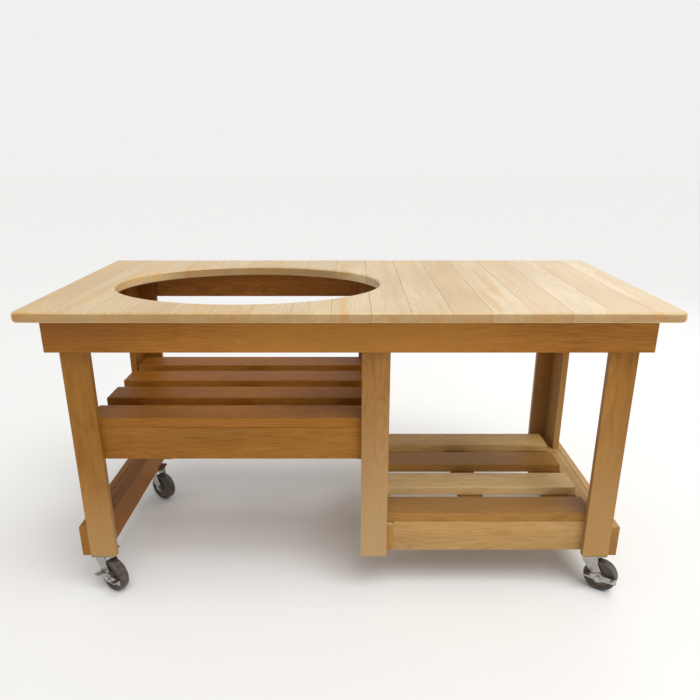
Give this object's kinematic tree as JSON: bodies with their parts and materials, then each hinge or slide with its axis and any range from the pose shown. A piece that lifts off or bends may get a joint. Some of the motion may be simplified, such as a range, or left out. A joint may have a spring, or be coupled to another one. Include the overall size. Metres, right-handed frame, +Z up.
{
  "type": "kamado grill table",
  "caption": "Rolling wooden grill table: an oval worktop cut-out over a slatted shelf that carries a kamado grill, with an open storage shelf beside it, on swivel casters.",
  "frame": {"origin": "centre of the bounding box at the floor, under the wheels", "axes": "+X along the table to the right seen from the front, +Y to the back, +Z up"},
  "size_m": [1.554, 0.7874, 0.8],
  "materials": {
    "worktop": "oiled softwood, satin",
    "apron": "oiled softwood, satin",
    "leg": "oiled softwood, satin",
    "rail": "oiled softwood, satin",
    "slat": "oiled softwood, satin",
    "zinc": "bright zinc plate",
    "steel": "plain steel",
    "tread": "grey-brown solid wheel"
  },
  "bodies": {
    "table": {"worktop_left_panel": "worktop", "worktop_front_strip_panel": "worktop", "worktop_rear_strip_panel": "worktop", "worktop_right_panel": "worktop", "front_apron": "apron", "rear_apron": "apron", "left_apron": "apron", "right_apron": "apron", "front_left_leg_face_board": "leg", "front_left_leg_side_board": "leg", "front_right_leg_face_board": "leg", "front_right_leg_side_board": "leg", "front_middle_post_face_board": "leg", "front_middle_post_side_board": "leg", "rear_left_leg_face_board": "leg", "rear_left_leg_side_board": "leg", "rear_right_leg_face_board": "leg", "rear_right_leg_side_board": "leg", "rear_middle_post_face_board": "leg", "rear_middle_post_side_board": "leg", "left_outer_side_rail": "rail", "left_inner_side_rail": "rail", "right_outer_side_rail": "rail", "right_inner_side_rail": "rail", "grill_shelf_front_rail": "rail", "grill_shelf_rear_rail": "rail", "grill_shelf_slat_1": "slat", "grill_shelf_slat_2": "slat", "grill_shelf_slat_3": "slat", "grill_shelf_slat_4": "slat", "grill_shelf_batten_1": "rail", "grill_shelf_batten_2": "rail", "grill_shelf_batten_3": "rail", "storage_shelf_front_rail": "rail", "storage_shelf_rear_rail": "rail", "storage_shelf_slat_1": "slat", "storage_shelf_slat_2": "slat", "storage_shelf_slat_3": "slat", "storage_shelf_slat_4": "slat", "storage_shelf_batten_1": "rail", "storage_shelf_batten_2": "rail", "storage_shelf_left_bearer": "rail", "front_left_caster_plate": "zinc", "front_right_caster_plate": "zinc", "rear_left_caster_plate": "zinc", "rear_right_caster_plate": "zinc"},
    "front_left caster fork": {"front_left_caster_fork": "zinc", "front_left_caster_axle_bolt": "steel"},
    "front_left caster wheel": {"front_left_caster_wheel": "tread"},
    "front_left caster brake": {"front_left_caster_brake_lever": "zinc"},
    "front_right caster fork": {"front_right_caster_fork": "zinc", "front_right_caster_axle_bolt": "steel"},
    "front_right caster wheel": {"front_right_caster_wheel": "tread"},
    "front_right caster brake": {"front_right_caster_brake_lever": "zinc"},
    "rear_left caster fork": {"rear_left_caster_fork": "zinc", "rear_left_caster_axle_bolt": "steel"},
    "rear_left caster wheel": {"rear_left_caster_wheel": "tread"},
    "rear_right caster fork": {"rear_right_caster_fork": "zinc", "rear_right_caster_axle_bolt": "steel"},
    "rear_right caster wheel": {"rear_right_caster_wheel": "tread"}
  },
  "joints": [
    {"name": "front_left_caster_swivel", "type": "hinge", "parent": "table", "child": "front_left caster fork", "pos_m": [-0.6743, -0.2933, 0.1], "axis": [0, 0, 1], "continuous": true},
    {"name": "front_left_caster_wheel_spin", "type": "hinge", "parent": "front_left caster fork", "child": "front_left caster wheel", "pos_m": [-0.65136, -0.30936, 0.04445], "axis": [0.5736, 0.8192, 0], "continuous": true},
    {"name": "front_left_caster_brake_tip", "type": "hinge", "parent": "front_left caster fork", "child": "front_left caster brake", "pos_m": [-0.65136, -0.30936, 0.04445], "axis": [0.5736, 0.8192, 0], "range_deg": [0, 24]},
    {"name": "front_right_caster_swivel", "type": "hinge", "parent": "table", "child": "front_right caster fork", "pos_m": [0.6743, -0.2933, 0.1], "axis": [0, 0, 1], "continuous": true},
    {"name": "front_right_caster_wheel_spin", "type": "hinge", "parent": "front_right caster fork", "child": "front_right caster wheel", "pos_m": [0.69724, -0.30936, 0.04445], "axis": [0.5736, 0.8192, 0], "continuous": true},
    {"name": "front_right_caster_brake_tip", "type": "hinge", "parent": "front_right caster fork", "child": "front_right caster brake", "pos_m": [0.69724, -0.30936, 0.04445], "axis": [0.5736, 0.8192, 0], "range_deg": [0, 24]},
    {"name": "rear_left_caster_swivel", "type": "hinge", "parent": "table", "child": "rear_left caster fork", "pos_m": [-0.6743, 0.2425, 0.1], "axis": [0, 0, 1], "continuous": true},
    {"name": "rear_left_caster_wheel_spin", "type": "hinge", "parent": "rear_left caster fork", "child": "rear_left caster wheel", "pos_m": [-0.65136, 0.22644, 0.04445], "axis": [0.5736, 0.8192, 0], "continuous": true},
    {"name": "rear_right_caster_swivel", "type": "hinge", "parent": "table", "child": "rear_right caster fork", "pos_m": [0.6743, 0.2425, 0.1], "axis": [0, 0, 1], "continuous": true},
    {"name": "rear_right_caster_wheel_spin", "type": "hinge", "parent": "rear_right caster fork", "child": "rear_right caster wheel", "pos_m": [0.69724, 0.22644, 0.04445], "axis": [0.5736, 0.8192, 0], "continuous": true}
  ]
}
